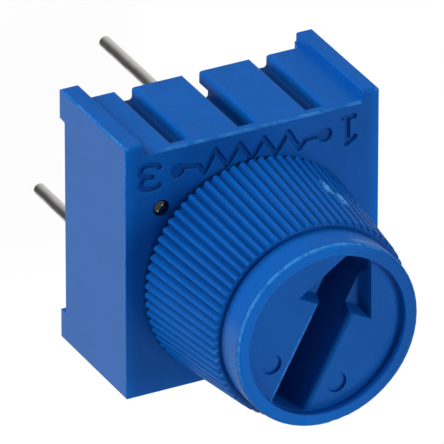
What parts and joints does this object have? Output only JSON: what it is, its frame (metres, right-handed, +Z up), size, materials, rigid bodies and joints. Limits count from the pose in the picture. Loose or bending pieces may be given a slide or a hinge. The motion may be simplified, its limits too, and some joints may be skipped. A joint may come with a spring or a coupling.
{
  "type": "trimmer potentiometer",
  "caption": "Square single-turn trimmer potentiometer with a ribbed, tapered finger knob, an arrow-shaped screwdriver slot and straight wire pins.",
  "frame": {"origin": "middle of the square body, in the plane of the standoff feet, which is the board surface once the part is fitted", "axes": "+Z up along the knob's axis, away from the board; +Y towards the side with the terminal grooves and the wiper pin; +X towards end pin 1"},
  "size_m": [0.0096, 0.0097, 0.0164],
  "materials": {
    "housing_plastic": "satin moulded thermoplastic",
    "knob_plastic": "satin moulded thermoplastic",
    "rotor_plastic": "satin moulded thermoplastic",
    "seal_rubber": "smooth rubber",
    "contact_metal": "rolled contact strip",
    "white_ceramic": "unglazed alumina",
    "resistor_film": "fired metal and glass film",
    "conductor_film": "fired silver film",
    "tinned_wire": "dull tin plate",
    "solder": "satin solder",
    "potting_resin": "cured potting resin",
    "vent_resin": "glossy cured resin"
  },
  "bodies": {
    "body": {"housing": "housing_plastic", "ceramic_element": "white_ceramic", "resistive_track": "resistor_film", "collector_track": "conductor_film", "end_conductor_1": "conductor_film", "end_conductor_3": "conductor_film", "pin_1": "tinned_wire", "pin_2": "tinned_wire", "pin_3": "tinned_wire", "solder_1": "solder", "solder_2": "solder", "solder_3": "solder", "epoxy_seal": "potting_resin", "vent_plug": "vent_resin"},
    "turning": {"knob": "knob_plastic", "rotor": "rotor_plastic", "seal_ring": "seal_rubber", "wiper": "contact_metal"}
  },
  "joints": [
    {"name": "knob_turn", "type": "hinge", "parent": "body", "child": "turning", "pos_m": [0, -0.00081, 0.007], "axis": [0, 0, 1], "range_deg": [-304, 0]}
  ]
}
